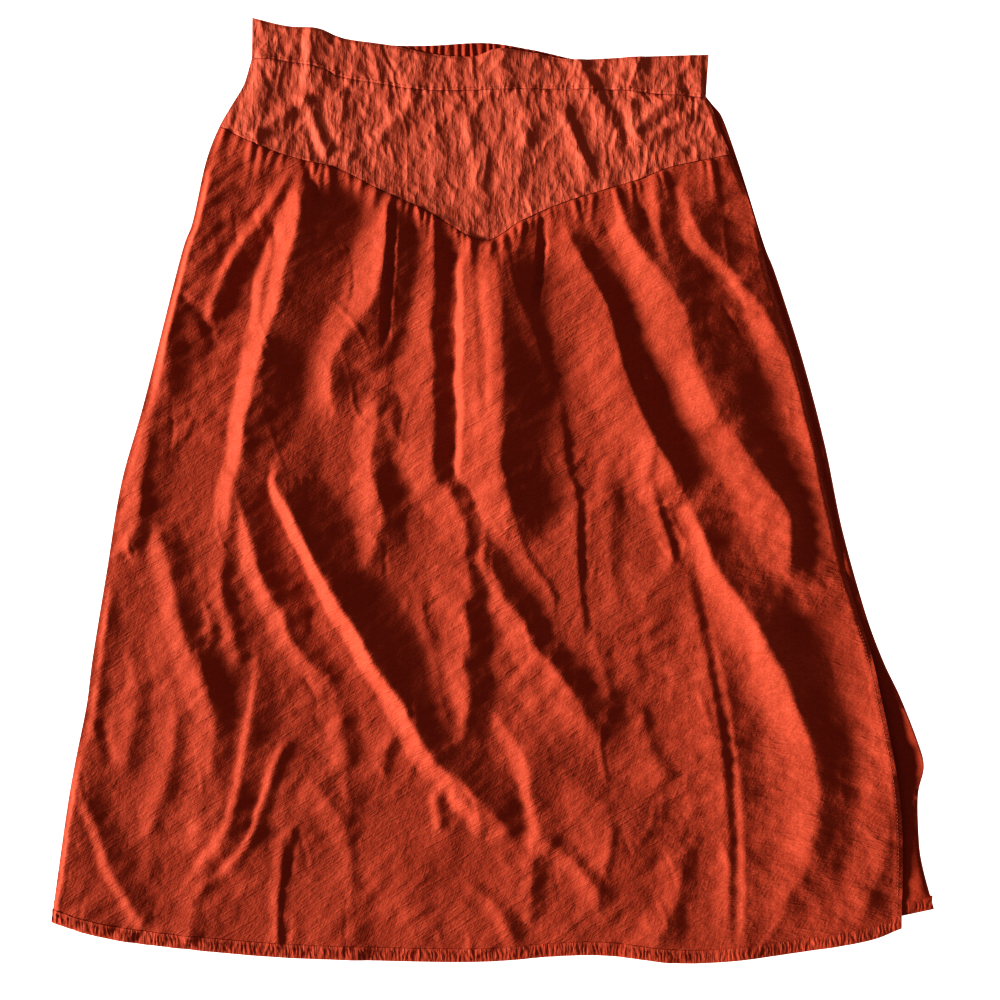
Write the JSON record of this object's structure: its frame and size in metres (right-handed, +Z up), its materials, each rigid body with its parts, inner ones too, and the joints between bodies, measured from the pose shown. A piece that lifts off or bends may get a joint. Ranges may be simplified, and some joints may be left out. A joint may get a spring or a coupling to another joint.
{
  "type": "midi skirt",
  "caption": "Midi skirt laid flat, front up: flat front waistband, pointed yoke with a gathered panel below it, elasticated back waistband, side slit and a narrow turned hem.",
  "frame": {"origin": "middle of the skirt's box, on the surface that it lies on", "axes": "+X across the skirt to the viewer's right with its front up, +Y from hem to waist, +Z up off the surface"},
  "size_m": [0.7784, 0.8338, 0.0233],
  "materials": {
    "cloth_front": "crinkled woven cloth with a soft, low sheen",
    "cloth_back": "the same woven cloth, smoother",
    "cloth_elastic": "the same woven cloth, drawn up on elastic"
  },
  "bodies": {
    "root": {"front_waistband": "cloth_front", "front_yoke": "cloth_front", "front_panel": "cloth_front", "front_hem": "cloth_front", "back_waistband": "cloth_elastic", "back_panel": "cloth_back", "back_hem": "cloth_back"}
  },
  "joints": []
}
